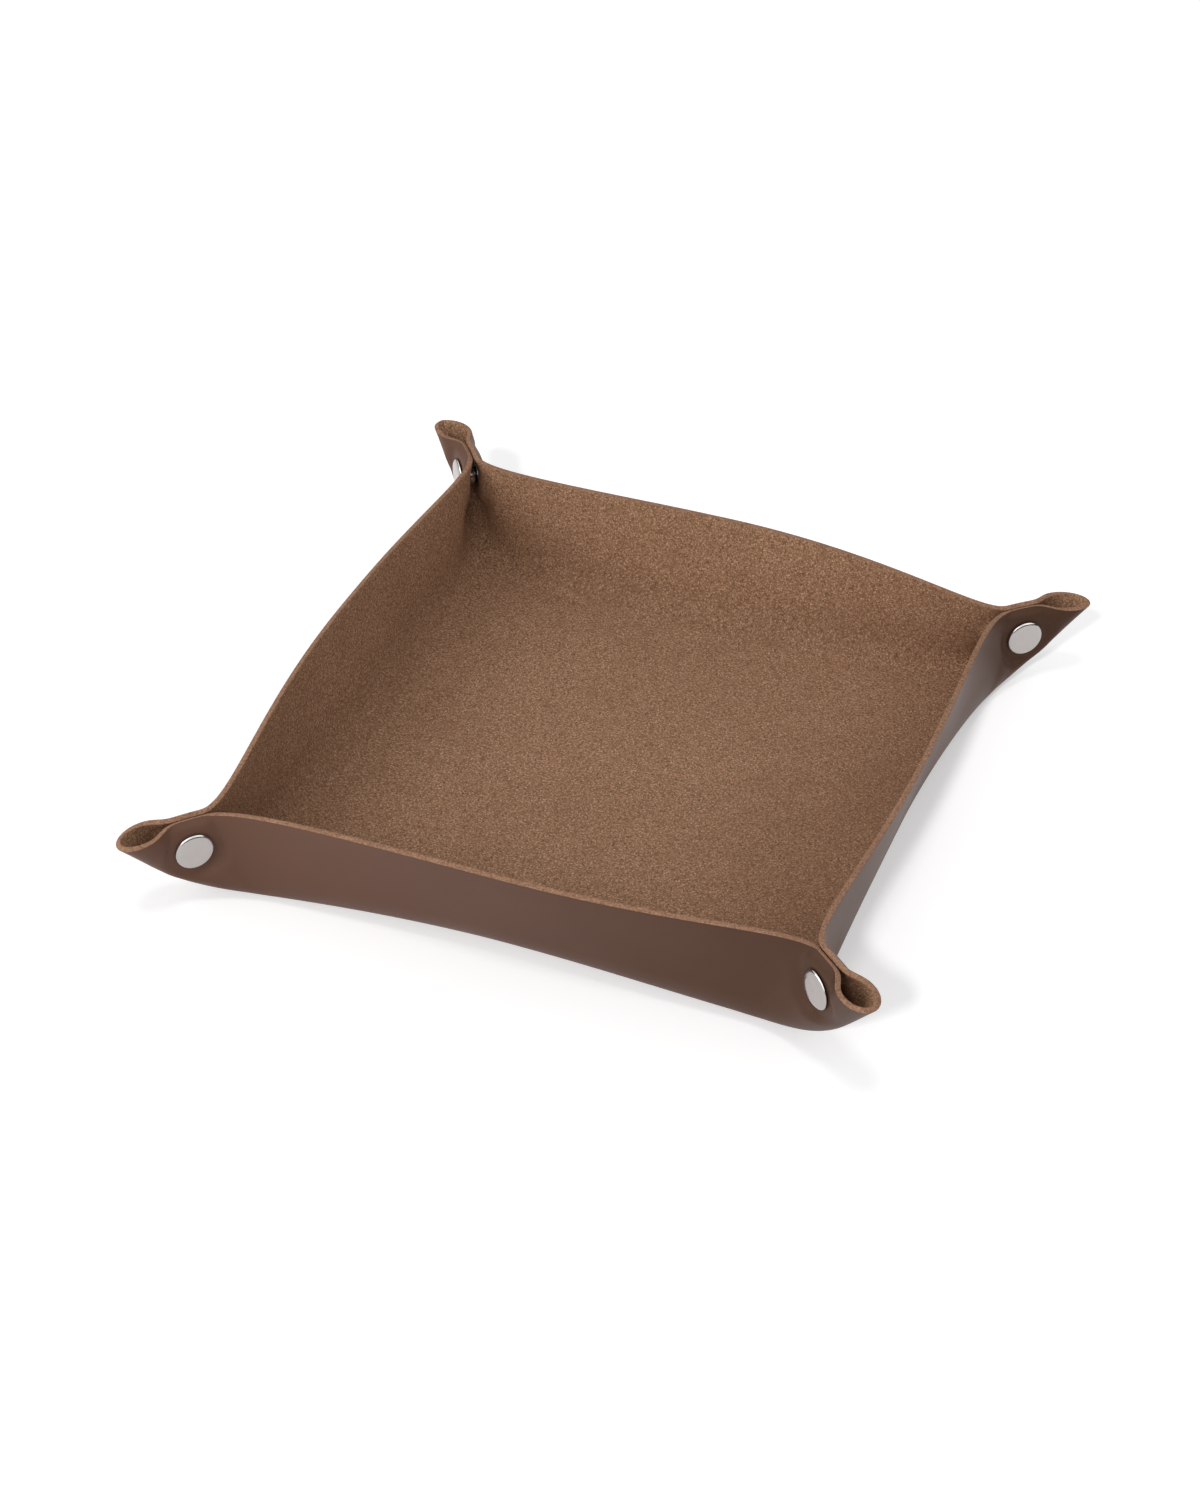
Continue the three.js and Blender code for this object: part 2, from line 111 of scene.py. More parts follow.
# Press stud, in millimetres
SNAP = {
    "cap diameter": 12.5,
    "cap height": 1.3,
    "cap round": 0.58,  # roundness of the rim towards the leather
    "cap roll": 1.8,  # width of the rim that rolls over from the face
    "cap roll depth": 0.85,
    "post diameter": 3.4,
    "post wall": 0.5,
    "roll": 0.25,
    "roll overhang": 0.45,
    "socket diameter": 10.4,
    "socket plate": 0.4,
    "socket lip": 0.3,
    "spring wire": 0.4,
    "spring grip": 0.15,
    "spring lift": 0.075,
    "stud diameter": 9.6,
    "stud plate": 0.6,
    "bulb diameter": 5.8,
    "bulb wall": 0.8,
    "bulb ease": 0.24,
    "neck diameter": 4.9,
    "eyelet diameter": 9.6,
    "eyelet height": 0.7,
    "eyelet rim": 0.28,
    "eyelet face": 7.7,
    "tube diameter": 2.8,
    "tube wall": 0.4,
    "clearance": 0.3,
    "bulb clearance": 0.15,
}
CAP_CROWN = 0.12  # how far the middle of a cap stands above the edge of its face
CAP_CROWN_SHARES = (0, 0.25, 0.45, 0.65)  # points of the face, as shares of its radius
CAP_FACE = 78  # angle of the cap's rim, in degrees, at which it meets the face
CAP_ROLL_STEPS = 14
CAP_ROUND_STEPS = 6
SPRING_SIDES = 12  # sides of the wire of a spring ring
BULB_LEVEL = 0.75  # height of the bulb's widest place, as a share of the stud above its plate
NECK_LEVEL = 0.4  # height of the neck, as a share of the stud above its plate
TURN_SEGMENTS = 72
TURN_RING = MM  # radius of the ring that carries an outline round the axis
EDGE_FILLET = 0.09  # roundness of the metal's edges
FILLET_STEPS = 4

# Finishes: colours from 0 to 255 as they look on screen
COLOURS = {
    "suede": (134, 100, 79),
    "suede dark": (44, 27, 16),
    "suede light": (194, 149, 117),
    "suede fibre": (228, 192, 160),
    "suede tuft": (128, 96, 66),
    # painted shade on the suede towards the sides and the front, in the same colour as its random clouds
    "suede clouds and painted shade": (98, 68, 50),
    # painted shade along the foot of the walls
    "suede painted foot shade": (60, 40, 28),
    "suede sheen": (214, 178, 150),
    "smooth side": (92, 66, 52),
    # the smooth side lighter at the left and darker at the right: a painted shade
    "smooth side left": (99, 71, 58),
    "smooth side painted shade": (68, 46, 32),
    "smooth side shine": (255, 240, 240),
    "cut edge": (160, 118, 92),
    "cut edge dark": (104, 74, 57),
    "cut edge light": (186, 144, 116),
    "cut edge cloud": (130, 94, 72),
    "nickel": (178, 176, 174),
    "spring steel": (190, 188, 186),
}
FLECK_AXIS = (0.6, 0.8, 0.0)  # the noise is turned round this axis, so that no face lies along its steps
FLECK_TURN = 0.9
FLECK_LEVELS = (0.3, 0.7)  # levels of the noise that become 0 and 1
NAP_SHARE = 0.55  # shares of the coarser and the finer suede flecks
GRAIN_SHARE = 0.45
FIBRE_LEVELS = (0.6, 0.9)  # levels of the finer flecks between which light fibres come up
FIBRE_SHARE = 0.75  # how much of each colour lies over the ones before
TUFT_SHARE = 0.16
CLOUD_SHARE = 0.14
# Painted shade on the suede: the nap darker towards the sides and the front
PAINTED_SHADE_SHARE = 0.2
PAINTED_SHADE_MIDDLE = -20  # millimetres to the right of the tray's middle, where the painted shade on the nap is least
PAINTED_SHADE_RANGE = (30, 100)  # millimetres from there, to the sides and the front, over which the painted shade darkens the nap
PAINTED_SHADE_BACK = (30, 90)  # millimetres behind the tray's middle over which it stays light again
# Painted shade in a band along the foot of each wall
FOOT_SHADE_SHARE = 0.14
FOOT_SHADE_START = (1.7, 2.8)  # heights in millimetres over which painted shade darkens the foot of a wall
FOOT_SHADE_END = (8, 18)  # and over which it turns light again
SIDE_SHADE_RANGE = (-40, 120)  # millimetres from left to right over which painted shade darkens the smooth side
SIDE_SHADE_SHARE = 0.8  # share of the darkening that is painted shade, the rest of which comes from the clouds
SIDE_CLOUDS = 0.2
SIDE_ROUGHNESS = 0.42
SIDE_DULLING = 0.06  # what the clouds add to that roughness
EDGE_CLOUDS = 0.3
METAL_WEAR = 0.93  # level of the handling marks in plated metal
METAL_CLOUDS = 0.5
METAL_DULLING = 0.05
NICKEL_ROUGHNESS = 0.14
STEEL_ROUGHNESS = 0.28

# Camera, in millimetres and degrees
CAMERA_TARGET = (-12.1, 12.13, 0.0)
CAMERA_DISTANCE = 983.8
CAMERA_AZIMUTH = 21.86
CAMERA_ELEVATION = 38.34
CAMERA_LENS = 72.0
CAMERA_SENSOR = 36.0
CAMERA_NEAR = 10.0

# Studio: floor and world levels; lamps that light the tray, each with its name, place in metres, size and
# power; and suns that light the floor alone, each with its name, direction, spread and strength
FLOOR_RADIUS = 4.0
FLOOR_SIDES = 96
FLOOR_PAINT = 0.76  # how much of the light the floor throws back
FLOOR_GLOW = 0.41  # what the floor adds for the camera
FLOOR_SHINE = 0.42  # what it adds in reflections
SHINE_TINT = (1.0, 0.88, 0.87, 1.0)  # how warm the floor looks in them
WORLD_LEVEL = 0.5
REFLECTED_SKYLINE = 0.02  # levels of the world in reflections, dark low down and bright above
REFLECTED_SKY = 1.6
SKYLINE = (0.28, 0.36)  # heights between which it turns bright, with the zenith at 1
LAMPS = [
    ("front_lamp", (-0.2, -1.0, 0.7), 1.6, 9.1),
    ("left_lamp", (-0.95, -0.6, 0.6), 0.8, 5.0),
    ("right_lamp", (0.9, 0.1, 0.8), 0.9, 1.9),
]
FLOOR_SUNS = [
    ("front_sun", (0.02, -0.77, 0.64), 0.09, 1.35),
    ("high_sun", (0.0, -0.2, 0.98), 0.2, 0.5),
]


def colour(name):
    """A named colour in linear light."""
    def linear(level):
        share = level / 255
        return share / 12.92 if share <= 0.04045 else ((share + 0.055) / 1.055) ** 2.4
    return (*[linear(level) for level in COLOURS[name]], 1.0)


class Wire:
    """A node's output that can stand in a formula: each sum or product adds a math node."""

    def __init__(self, tree, socket):
        self.tree = tree
        self.socket = socket

    def is_vector(self):
        return self.socket.type == "VECTOR"

    def __add__(self, other):
        return self.tree.formula("ADD", self, other)

    def __radd__(self, other):
        return self.tree.formula("ADD", other, self)

    def __sub__(self, other):
        return self.tree.formula("SUBTRACT", self, other)

    def __rsub__(self, other):
        return self.tree.formula("SUBTRACT", other, self)

    def __mul__(self, other):
        return self.tree.formula("MULTIPLY", self, other)

    def __truediv__(self, other):
        return self.tree.formula("DIVIDE", self, other)

    def __rtruediv__(self, other):
        return self.tree.formula("DIVIDE", other, self)

    def part(self, axis):
        """The X, Y or Z of a vector."""
        split = self.tree.add("ShaderNodeSeparateXYZ", Vector=self)
        return self.tree.wire(split, axis)


class Tree:
    """A node tree with short ways to add, link and calculate."""

    def __init__(self, nodes_tree):
        self.data = nodes_tree
        self.inputs = {}
        self.end = None

    def socket_in(self, sockets, name):
        if isinstance(name, int):
            return sockets[name]
        return next(s for s in sockets if s.name == name and s.enabled)

    def give(self, socket, value):
        """Links a wire to a socket, or sets the socket's own value."""
        if isinstance(value, Wire):
            self.data.links.new(value.socket, socket)
        else:
            socket.default_value = value

    def add(self, kind, settings=None, **inputs):
        """A new node with its settings, and its inputs by name with _ for a space."""
        node = self.data.nodes.new(kind)
        for name, value in (settings or {}).items():
            setattr(node, name, value)
        for name, value in inputs.items():
            self.give(self.socket_in(node.inputs, name.replace("_", " ")), value)
        return node

    def wire(self, node, output=0):
        return Wire(self, self.socket_in(node.outputs, output))

    def get(self, kind, output=0, settings=None, **inputs):
        """One output of a new node."""
        return self.wire(self.add(kind, settings, **inputs), output)

    def formula(self, operation, *values):
        """A math node, or a vector one where a vector takes part."""
        vectors = [isinstance(v, Wire) and v.is_vector() for v in values]
        if any(vectors) and operation == "MULTIPLY" and not all(vectors):
            vector, factor = values if vectors[0] else reversed(values)
            return self.get("ShaderNodeVectorMath", 0, {"operation": "SCALE"}, Vector=vector, Scale=factor)
        kind = "ShaderNodeVectorMath" if any(vectors) else "ShaderNodeMath"
        node = self.add(kind, {"operation": operation})
        for socket, value in zip(node.inputs, values):
            self.give(socket, value)
        return self.wire(node, 0)

    def length(self, vector):
        return self.get("ShaderNodeVectorMath", "Value", {"operation": "LENGTH"}, Vector=vector)

    def unit(self, vector):
        return self.get("ShaderNodeVectorMath", 0, {"operation": "NORMALIZE"}, Vector=vector)

    def vector(self, x, y, z):
        return self.get("ShaderNodeCombineXYZ", 0, X=x, Y=y, Z=z)

    def ramp(self, value, start, end, shape="LINEAR"):
        """0 before start, 1 after end."""
        settings = {"interpolation_type": shape, "clamp": True}
        return self.get("ShaderNodeMapRange", "Result", settings, Value=value, From_Min=start, From_Max=end)

    def smooth(self, value, start, end):
        return self.ramp(value, start, end, "SMOOTHSTEP")

    def smooth_over(self, value, stretch):
        """Smooth over a stretch, a start and an end in millimetres."""
        return self.smooth(value, stretch[0] * MM, stretch[1] * MM)

    def blend(self, first, second, share):
        """From first to second as the share, a wire, goes from 0 to 1."""
        return share * (second - first) + first


def node_group(name, kind, inputs, outputs):
    """A node group with its named inputs and outputs; inputs are (name, socket kind, value)."""
    group = bpy.data.node_groups.new(name, kind)
    for title, socket, value in inputs:
        made = group.interface.new_socket(title, in_out="INPUT", socket_type=socket)
        if value is not None:
            made.default_value = value
    for title, socket in outputs:
        group.interface.new_socket(title, in_out="OUTPUT", socket_type=socket)
    tree = Tree(group)
    source = tree.add("NodeGroupInput")
    tree.inputs = {title: tree.wire(source, title) for title, _, _ in inputs}
    tree.end = tree.add("NodeGroupOutput")
    return tree


def group_input(group, title):
    """The identifier of a group's input, as a modifier names it."""
    items = group.interface.items_tree
    return next(s.identifier for s in items if s.name == title and s.in_out == "INPUT")


def applied(name, mesh, group, values):
    """An object whose plain mesh is the result of a Geometry Nodes tree."""
    maker = bpy.data.objects.new(name, mesh)
    bpy.context.scene.collection.objects.link(maker)
    modifier = maker.modifiers.new("shape", "NODES")
    modifier.node_group = group
    for title, value in values.items():
        modifier[group_input(group, title)] = value
    bpy.context.view_layer.update()
    result = bpy.data.meshes.new_from_object(maker.evaluated_get(bpy.context.evaluated_depsgraph_get()))
    maker.modifiers.remove(modifier)
    maker.data = result
    result.name = name
    return maker


# Geometry: the sheet

def bezier(tree, start, start_handle, end_handle, end):
    settings = {"mode": "POSITION"}
    return tree.get("GeometryNodeCurvePrimitiveBezierSegment", 0, settings, Resolution=CURVE_STEPS,
                    Start=start, Start_Handle=start_handle, End_Handle=end_handle, End=end)


def grid(tree, columns, rows):
    return tree.add("GeometryNodeMeshGrid", Size_X=1.0, Size_Y=1.0, Vertices_X=columns, Vertices_Y=rows)


def at_point(tree, mesh, field, number, data="FLOAT_VECTOR"):
    """What a field says at the point of a mesh with that number."""
    settings = {"data_type": data, "domain": "POINT"}
    return tree.get("GeometryNodeSampleIndex", "Value", settings, Geometry=mesh, Value=field, Index=number)


def along_wall(tree, distance):
    """A step along a wall, from its middle towards the corner."""
    return tree.vector(distance * DIAGONAL, distance * -DIAGONAL, 0)


def half_rim(tree, size, pinch_reach):
    """From the middle of a wall to the pinch, along it, and round the loop.

    Heights are above the middle of the floor's leather.
    """
    half = size["pinch span"] * (0.5 * DIAGONAL)
    floor_middle = size["thickness"] * 0.5
    pinch_top = size["pinch height"] + size["rise"] - floor_middle
    middle = tree.vector(half, half, size["wall height"] - floor_middle)
    pinch = tree.vector(pinch_reach, (size["pinch gap"] + size["thickness"]) * 0.5, pinch_top)
    pinch_end = pinch + tree.vector(size["pinch length"], 0, 0)
    tip_reach = pinch_reach + size["pinch length"] + size["loop length"]
    tip_top = pinch_top - size["loop drop"]
    tip = tree.vector(tip_reach, 0, tip_top)
    widest = tree.vector(tip_reach - size["loop nose"], size["loop width"] * 0.5, tip_top)
    sweep = tree.vector(size["pinch sweep"], 0, 0)
    neck = tree.vector((size["loop length"] - size["loop nose"]) * 0.5, 0, 0)
    nose = tree.vector(size["loop nose"] * LOOP_ROUNDNESS, 0, 0)
    nose_side = tree.vector(tip_reach, size["loop width"] * (0.5 * LOOP_ROUNDNESS), tip_top)
    stretches = [
        bezier(tree, middle, middle + along_wall(tree, size["wall sweep"]), pinch - sweep, pinch),
        tree.get("GeometryNodeCurvePrimitiveLine", 0, Start=pinch, End=pinch_end),
        bezier(tree, pinch_end, pinch_end + neck, widest - neck, widest),
        bezier(tree, widest, widest + nose, nose_side, tip),
    ]
    joined = tree.add("GeometryNodeJoinGeometry")
    for stretch in reversed(stretches):
        tree.give(joined.inputs[0], stretch)
    return tree.wire(joined)


def half_outline(tree, size, half, reach, roundness):
    """From the middle of a wall to the corner's diagonal, on the floor."""
    side = half * DIAGONAL
    middle = tree.vector(side, side, 0)
    handle = middle + along_wall(tree, size["foot sweep"])
    return bezier(tree, middle, handle, tree.vector(reach, roundness, 0), tree.vector(reach, 0, 0))


def on_curve(tree, curve, share):
    settings = {"mode": "FACTOR", "use_all_curves": True}
    return tree.get("GeometryNodeSampleCurve", "Position", settings, Curves=curve, Factor=share)


def foot_share(tree, share, rim_length, foot_length):
    """Share of the foot that a share of the rim comes down to."""
    rest = 1 - share
    start_slope = rim_length * share * rest * rest
    end_slope = rim_length * share * share * rest * EAR_FAN
    return share * share * (3 - share * 2) + (start_slope - end_slope) / foot_length


def end_face(tree, sheet, turns, column, finish):
    """Flat face across the leather where a quarter meets its neighbour, between paired rows of the strip."""
    pairs = (turns + 1) // 2
    flat = grid(tree, 2, pairs)
    index = tree.get("GeometryNodeInputIndex")
    outer = tree.formula("FLOOR", (index + 0.5) / pairs)
    pair = index - outer * pairs
    row = pair + outer * (turns - 1 - pair * 2)
    place = at_point(tree, sheet, tree.get("GeometryNodeInputPosition"), row + column * turns)
    face = tree.get("GeometryNodeSetPosition", 0, Geometry=tree.wire(flat, "Mesh"), Position=place)
    face = tree.get("GeometryNodeSetShadeSmooth", 0, Geometry=face, Shade_Smooth=False)
    return tree.get("GeometryNodeSetMaterial", 0, Geometry=face, Material=finish)


def corner_tree(suede, smooth_side, cut_edge):
    """A quarter of the sheet, from the middle of one wall round its corner to the middle of the next."""
    sizes = [(title, "NodeSocketFloat", value * MM) for title, value in SHEET.items()]
    titles = ("rise", "drawn", "lean", "swing", "angle", "cap side")
    places = [(title, "NodeSocketFloat", 0.0) for title in titles]
    outputs = [("Geometry", "NodeSocketGeometry")]
    tree = node_group("leather_corner", "GeometryNodeTree", sizes + places, outputs)
    size = tree.inputs
    rows = FLOOR_ROWS + BEND_ROWS + WALL_ROWS + 1
    columns = 2 * SIDE_COLUMNS + 1
    flat = grid(tree, columns, rows)
    place = tree.wire(flat, "UV Map")
    across = 1 - place.part("X") * 2
    side = tree.formula("SIGN", across)
    share = 1 - tree.formula("ABSOLUTE", across)
    climb = place.part("Y") * (rows - 1)

    pinch_reach = size["pinch span"] * DIAGONAL - size["drawn"]
    rim = half_rim(tree, size, pinch_reach)
    foot_half = size["pinch span"] * 0.5 - size["wall lean"]
    reach = pinch_reach - size["corner lean"] - size["rise"] * DRAW_IN
    foot = half_outline(tree, size, foot_half, reach, size["foot round"])
    floor_reach = reach - size["corner bend"]
    floor_edge = half_outline(tree, size, foot_half - size["foot bend"], floor_reach, size["floor round"])
    rim_length = tree.get("GeometryNodeCurveLength", 0, Curve=rim)
    foot_length = tree.get("GeometryNodeCurveLength", 0, Curve=foot)

    # One line of leather from the middle of the floor up to the rim
    along_foot = foot_share(tree, share, rim_length, foot_length)
    top = on_curve(tree, rim, share)
    foot_point = on_curve(tree, foot, along_foot)
    floor_point = on_curve(tree, floor_edge, along_foot)
    wall = top - foot_point
    wall_share = tree.formula("MINIMUM", size["foot bend"] / tree.length(wall), BEND_LIMIT)
    bend_share = tree.blend(wall_share, CORNER_BEND_SHARE, tree.formula("POWER", share, BEND_GROWTH))
    bend_end = foot_point + wall * bend_share
    on_floor = tree.ramp(climb, 0, FLOOR_ROWS)
    on_bend = tree.ramp(climb, FLOOR_ROWS, FLOOR_ROWS + BEND_ROWS)
    on_wall = tree.ramp(climb, FLOOR_ROWS + BEND_ROWS, rows - 1)
    before = tree.blend(floor_point, foot_point, on_bend)
    after = tree.blend(foot_point, bend_end, on_bend)
    bend = tree.blend(before, after, on_bend)
    point = floor_point * on_floor + (bend - floor_point) + (top - bend_end) * on_wall

    # The flat pad round the snap, above which the layers close again at the rim
    snap_reach = pinch_reach + size["snap out"]
    snap_height = size["pinch height"] + size["rise"] - size["snap drop"] - size["thickness"] * 0.5
    away = tree.length(tree.vector(point.part("X") - snap_reach, 0, point.part("Z") - snap_height))
    pad_radius = size["pad margin"] + SNAP["cap diameter"] / 2 * MM
    outside_pad = tree.smooth(away, pad_radius, pad_radius + size["pad fade"])
    depth = (1 - on_wall) * tree.length(top - bend_end)
    loose = tree.formula("MAXIMUM", outside_pad, 1 - tree.smooth(depth, 0, size["rim closing"]))
    pad_layer = (size["snap gap"] + size["thickness"]) * 0.5
    layer = tree.formula("MINIMUM", pad_layer, point.part("Y") * PAD_OPENING)
    spread = tree.blend(layer, point.part("Y"), loose)

    # The corner's lean and swing to one side, and its place in the tray
    past_pinch = point.part("X") - pinch_reach
    leaning = tree.formula("MAXIMUM", past_pinch + size["lean run"], 0) / size["lean run"]
    swinging = tree.formula("MAXIMUM", past_pinch, 0) / (size["pinch length"] + size["loop length"])
    sideways = side * spread + size["lean"] * leaning * leaning + size["swing"] * swinging * swinging
    bowed = tree.vector(point.part("X"), sideways, point.part("Z") + size["thickness"] * 0.5)
    settings = {"rotation_type": "Z_AXIS"}
    turned = tree.get("ShaderNodeVectorRotate", 0, settings, Vector=bowed, Angle=size["angle"])
    middle = tree.get("GeometryNodeSetPosition", 0, Geometry=tree.wire(flat, "Mesh"), Position=turned)

    # How far each point follows the cap
    from_tip = side * size["cap side"] * (1 - share) * rim_length
    pull = tree.smooth(from_tip, -PULL_TIP_BEFORE * MM, PULL_TIP_AFTER * MM)
    pull = pull * tree.smooth(point.part("X"), PULL_WALL_START * MM, snap_reach - PULL_PAD * MM)
    pull = pull * tree.smooth(point.part("Z"), PULL_FOOT * MM, snap_height - PULL_PAD * MM)

    # Both faces and the rounded cut edge as one strip, up the inside, over the rim and down the outside
    turns = 2 * rows + EDGE_ROWS
    strip = grid(tree, columns, turns)
    index = tree.get("GeometryNodeInputIndex")
    column = tree.formula("FLOOR", (index + 0.5) / turns)
    row = index - column * turns
    middle_row = tree.formula("MINIMUM", row, turns - 1 - row)
    middle_row = tree.formula("MINIMUM", middle_row, rows - 1)
    here = column * rows + middle_row
    position = tree.get("GeometryNodeInputPosition")
    last = column * rows + (rows - 1)
    rim_point = at_point(tree, middle, position, last)
    rib = tree.unit(rim_point - at_point(tree, middle, position, last - 1))
    over = tree.ramp(row, rows - 1, rows + EDGE_ROWS)
    angle = (0.5 - over) * math.pi
    sine = tree.formula("SINE", angle)
    squared = tree.formula("POWER", tree.formula("ABSOLUTE", sine), EDGE_SQUARENESS)
    offset = tree.formula("SIGN", sine) * squared * size["thickness"] * 0.5
    cosine = tree.formula("MAXIMUM", tree.formula("COSINE", angle), 0)
    swell = tree.formula("POWER", cosine, EDGE_SQUARENESS) * size["edge swell"]
    normal = at_point(tree, middle, tree.get("GeometryNodeInputNormal"), here)
    skin = at_point(tree, middle, position, here) + normal * offset + rib * swell
    sheet = tree.get("GeometryNodeSetPosition", 0, Geometry=tree.wire(strip, "Mesh"), Position=skin)
    sheet = tree.get("GeometryNodeStoreNamedAttribute", 0, {"data_type": "FLOAT", "domain": "POINT"},
                     Geometry=sheet, Name="cap_pull", Value=at_point(tree, middle, pull, here, "FLOAT"))

    # Suede inside, smooth grain outside, the cut edge between
    face_row = index - tree.formula("FLOOR", (index + 0.5) / (turns - 1)) * (turns - 1)
    inside = tree.formula("LESS_THAN", face_row, rows - 1.5)
    outside = tree.formula("GREATER_THAN", face_row, rows + EDGE_ROWS - 0.5)
    sheet = tree.get("GeometryNodeSetMaterial", 0, Geometry=sheet, Material=cut_edge)
    sheet = tree.get("GeometryNodeSetMaterial", 0, Geometry=sheet, Selection=inside, Material=suede)
    sheet = tree.get("GeometryNodeSetMaterial", 0, Geometry=sheet, Selection=outside, Material=smooth_side)
    sheet = tree.get("GeometryNodeSetShadeSmooth", 0, Geometry=sheet)
    whole = tree.add("GeometryNodeJoinGeometry")
    last_face = end_face(tree, sheet, turns, columns - 1, cut_edge)
    first_face = tree.get("GeometryNodeFlipFaces", 0, Mesh=end_face(tree, sheet, turns, 0, cut_edge))
    for piece in (last_face, first_face, sheet):
        tree.give(whole.inputs[0], piece)
    closed = tree.get("GeometryNodeMergeByDistance", 0, Geometry=tree.wire(whole), Distance=WELD)
    corner = tree.wire(tree.add("GeometryNodeInputMeshEdgeAngle"), "Unsigned Angle")
    crisp = tree.formula("GREATER_THAN", corner, SHARP_ANGLE)
    closed = tree.get("GeometryNodeSetShadeSmooth", 0, {"domain": "EDGE"}, Geometry=closed, Selection=crisp,
                      Shade_Smooth=False)
    closed = tree.get("GeometryNodeRealizeInstances", 0, Geometry=closed)
    tree.give(tree.end.inputs["Geometry"], closed)
    return tree.data


class Corner:
    """A pinched corner, worked out from the joint that opens its snap."""

    def __init__(self, joint):
        self.body = joint["child"]
        self.name = self.body.removesuffix("_snap")
        self.snap = Vector(joint["pos_m"])
        self.axis = Vector(joint["axis"]).normalized()
        quarter = math.floor(math.atan2(self.snap.y, self.snap.x) / (math.pi / 2))
        self.angle = (quarter + 0.5) * math.pi / 2
        outward = Vector((math.cos(self.angle), math.sin(self.angle), 0))
        sideways = Vector((-outward.y, outward.x, 0))
        self.cap_side = 1.0 if self.axis.dot(sideways) > 0 else -1.0
        self.rise = self.snap.z - (SHEET["pinch height"] - SHEET["snap drop"]) * MM
        snap_reach = (SHEET["pinch span"] * DIAGONAL + SHEET["snap out"]) * MM
        self.drawn = snap_reach - self.snap.dot(outward)
        slope = -self.axis.dot(outward) / self.axis.dot(sideways)
        self.lean, self.swing = self.bow(self.snap.dot(sideways), slope)

    @staticmethod
    def bow(offset, slope):
        """Lean at the pinch and swing of the tip that give the snap its offset and slope to one side."""
        lean_run = SHEET["lean run"] * MM
        ear_length = (SHEET["pinch length"] + SHEET["loop length"]) * MM
        leaning = 1 + SHEET["snap out"] * MM / lean_run
        swinging = SHEET["snap out"] * MM / ear_length
        shares = [[leaning ** 2, swinging ** 2], [2 * leaning / lean_run, 2 * swinging / ear_length]]
        return np.linalg.solve(shares, [offset, slope])

    def values(self):
        """What the corner's node tree takes in."""
        return {"rise": self.rise, "drawn": self.drawn, "lean": self.lean, "swing": self.swing,
                "angle": self.angle, "cap side": self.cap_side}


def make_sheet(corners, materials):
    """The leather, a quarter for each corner; how far each point follows its cap is worked out, then dropped.
    """
    group = corner_tree(materials["suede"], materials["smooth side"], materials["cut edge"])
    for corner in corners:
        name = f"{corner.name}_leather"
        quarter = applied(name, bpy.data.meshes.new(name), group, corner.values())
        pull = np.zeros(len(quarter.data.vertices), np.float32)
        quarter.data.attributes["cap_pull"].data.foreach_get("value", pull)
        quarter.data.attributes.remove(quarter.data.attributes["cap_pull"])
        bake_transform(quarter)
        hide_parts("leather_sheet")


# Geometry: the press studs

def turned_tree():
    """A piece turned round the snap axis from its outline, with rounded edges."""
    inputs = [
        ("Outline", "NodeSocketGeometry", None),
        ("edge fillet", "NodeSocketFloat", EDGE_FILLET * MM),
        ("place", "NodeSocketVector", None),
        ("axis", "NodeSocketVector", None),
        ("finish", "NodeSocketMaterial", None),
    ]
    tree = node_group("turned_piece", "GeometryNodeTree", inputs, [("Geometry", "NodeSocketGeometry")])
    outline = tree.get("GeometryNodeMeshToCurve", 0, Mesh=tree.inputs["Outline"])
    fillet = tree.add("GeometryNodeFilletCurve", {"mode": "POLY"}, Curve=outline, Limit_Radius=True,
                      Radius=tree.inputs["edge fillet"], Count=FILLET_STEPS)
    ring = tree.get("GeometryNodeCurvePrimitiveCircle", 0, Resolution=TURN_SEGMENTS, Radius=TURN_RING)
    body = tree.get("GeometryNodeCurveToMesh", 0, Curve=ring, Profile_Curve=tree.wire(fillet))
    body = tree.get("GeometryNodeMergeByDistance", 0, Geometry=body, Distance=WELD)
    turn = tree.get("FunctionNodeAlignRotationToVector", 0, {"axis": "Z"}, Vector=tree.inputs["axis"])
    place = tree.inputs["place"]
    body = tree.get("GeometryNodeTransform", 0, Geometry=body, Translation=place, Rotation=turn)
    body = tree.get("GeometryNodeSetShadeSmooth", 0, Geometry=body)
    body = tree.get("GeometryNodeSetMaterial", 0, Geometry=body, Material=tree.inputs["finish"])
    body = tree.get("GeometryNodeRealizeInstances", 0, Geometry=body)
    tree.give(tree.end.inputs["Geometry"], body)
    return tree.data


def levels():
    """Heights along the snap axis, in millimetres from the middle between the layers towards the cap."""
    inner_face = SHEET["snap gap"] / 2
    gap = SNAP["clearance"]
    at = {"cap seat": inner_face + SHEET["thickness"] + gap, "socket top": inner_face - gap}
    at["socket ceiling"] = at["socket top"] - SNAP["socket plate"]
    at["post end"] = at["socket ceiling"] - gap - SNAP["roll"]
    at["stud seat"] = gap - inner_face
    at["stud top"] = at["stud seat"] + SNAP["stud plate"]
    at["bulb top"] = at["post end"] - gap
    at["socket bottom"] = at["stud top"] + gap
    at["eyelet seat"] = -at["cap seat"]
    at["tube end"] = at["stud top"] + gap + SNAP["roll"]
    return at


def arc(radius, centre_radius, centre_height, first, last, steps):
    """Points of an arc in an outline, angles in degrees from the radius direction up."""
    angles = [math.radians(first + (last - first) * i / steps) for i in range(steps + 1)]
    return [(centre_radius + radius * math.cos(a), centre_height + radius * math.sin(a)) for a in angles]


def spring_radius():
    return SNAP["bulb diameter"] / 2 - SNAP["spring grip"] + SNAP["spring wire"] / 2


def cavity_radius():
    return spring_radius() + SNAP["spring wire"] / 2 + SNAP["clearance"]


